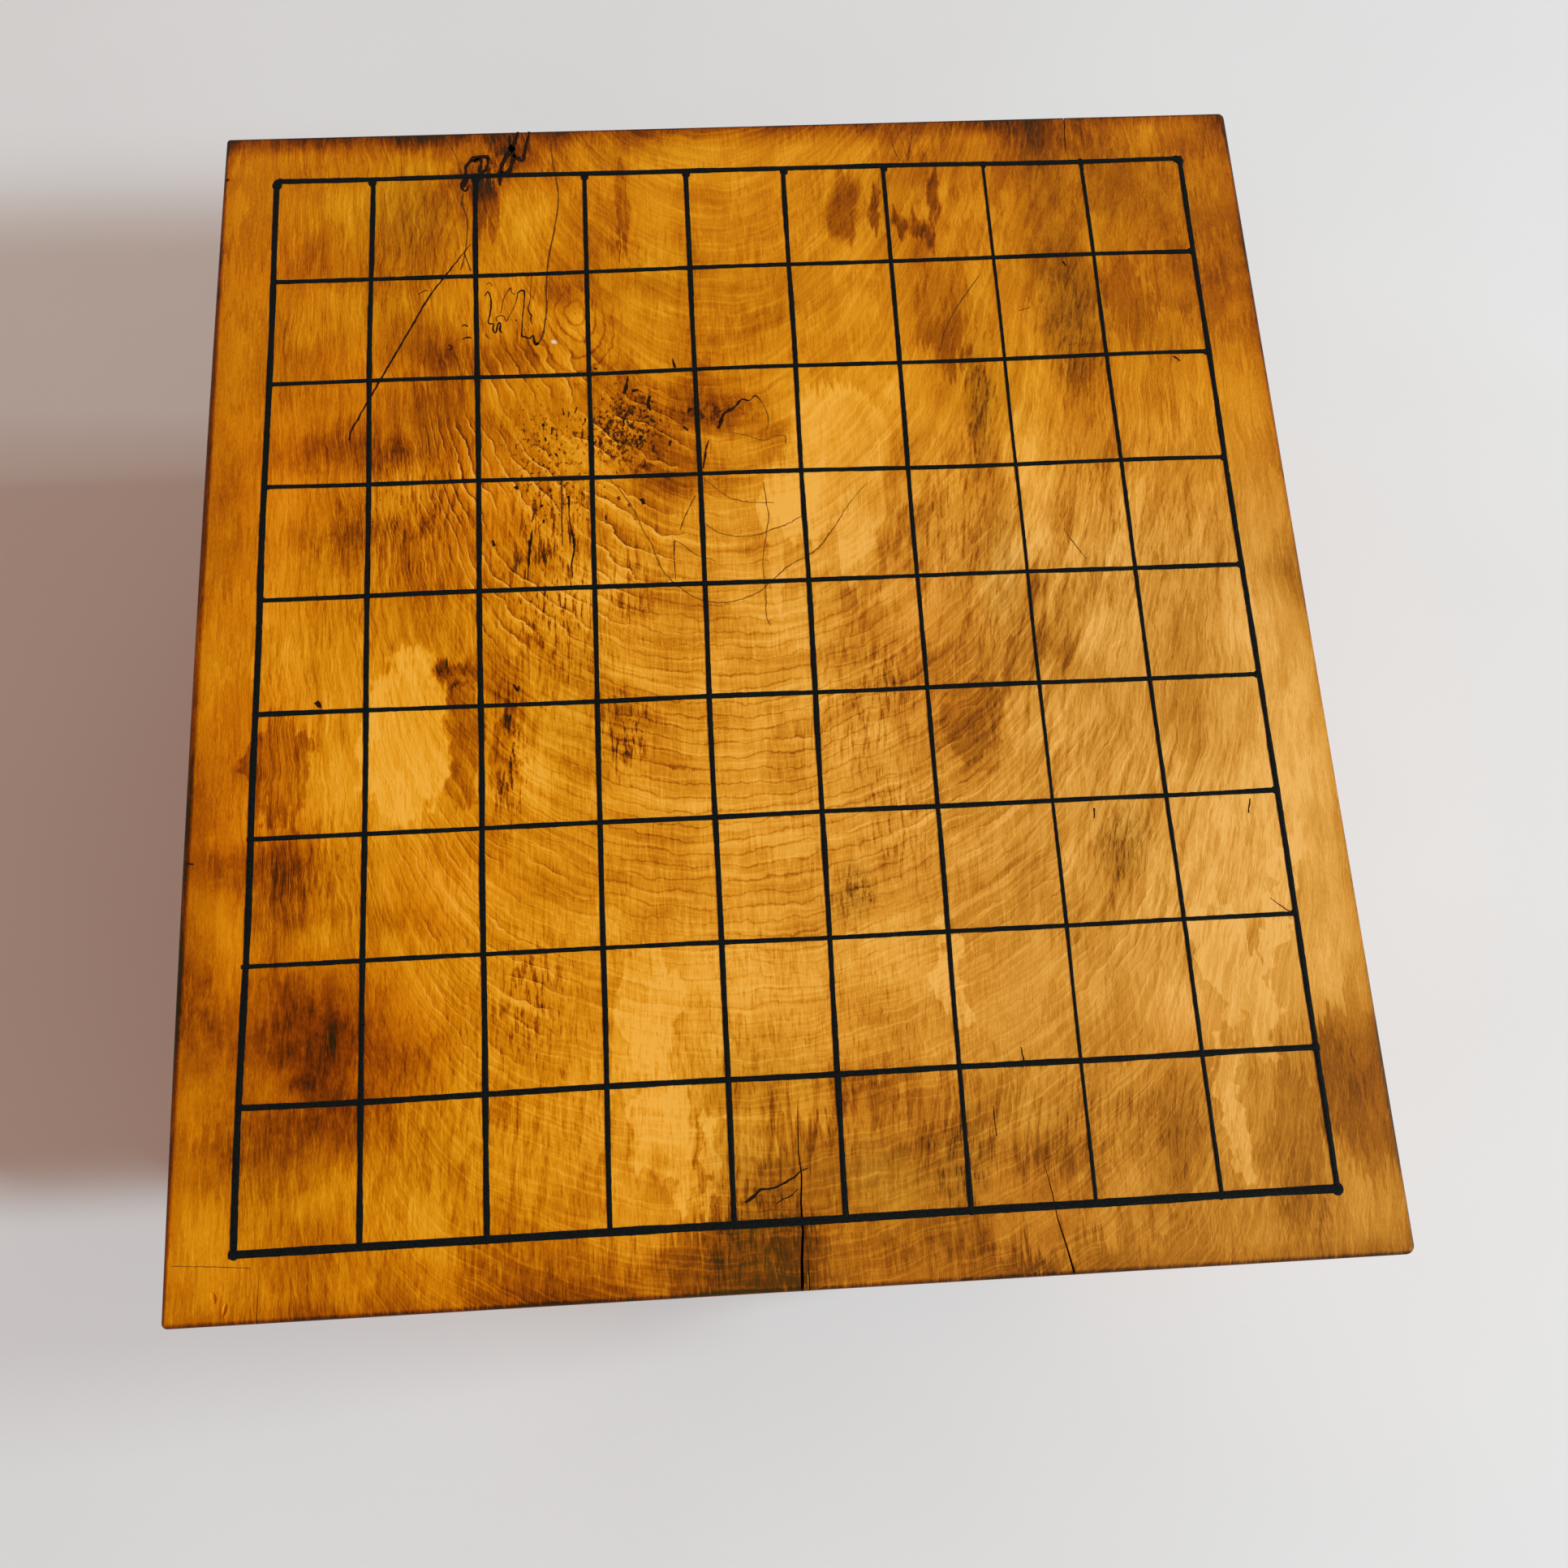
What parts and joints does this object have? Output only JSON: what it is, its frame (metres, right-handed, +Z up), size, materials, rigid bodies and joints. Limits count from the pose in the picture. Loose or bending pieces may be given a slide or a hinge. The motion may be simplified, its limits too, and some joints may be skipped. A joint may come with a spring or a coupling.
{
  "type": "shogi board",
  "caption": "Thick wooden shogi board with a square field of raised black lines on top, standing on carved, ribbed legs whose tenons push into its underside.",
  "frame": {"origin": "on the floor, under the middle of the block", "axes": "+X across the grain, to the player's right; +Y along the grain, away from the player; +Z up"},
  "size_m": [0.326, 0.364, 0.2152],
  "materials": {
    "block_wood": "amber-stained flat-sawn wood, worn and lightly polished",
    "line_lacquer": "black lacquer, dulled",
    "leg_wood": "amber-stained carved wood, lightly polished"
  },
  "bodies": {
    "board": {"block": "block_wood", "playing_lines": "line_lacquer"},
    "front_left_leg": {"leg_front_left": "leg_wood"},
    "front_right_leg": {"leg_front_right": "leg_wood"},
    "back_left_leg": {"leg_back_left": "leg_wood"},
    "back_right_leg": {"leg_back_right": "leg_wood"}
  },
  "joints": [
    {"name": "front_left_tenon", "type": "slide", "parent": "board", "child": "front_left_leg", "axis": [0, 0, -1], "range_m": [0, 0.04]},
    {"name": "front_right_tenon", "type": "slide", "parent": "board", "child": "front_right_leg", "axis": [0, 0, -1], "range_m": [0, 0.04]},
    {"name": "back_left_tenon", "type": "slide", "parent": "board", "child": "back_left_leg", "axis": [0, 0, -1], "range_m": [0, 0.04]},
    {"name": "back_right_tenon", "type": "slide", "parent": "board", "child": "back_right_leg", "axis": [0, 0, -1], "range_m": [0, 0.04]}
  ]
}
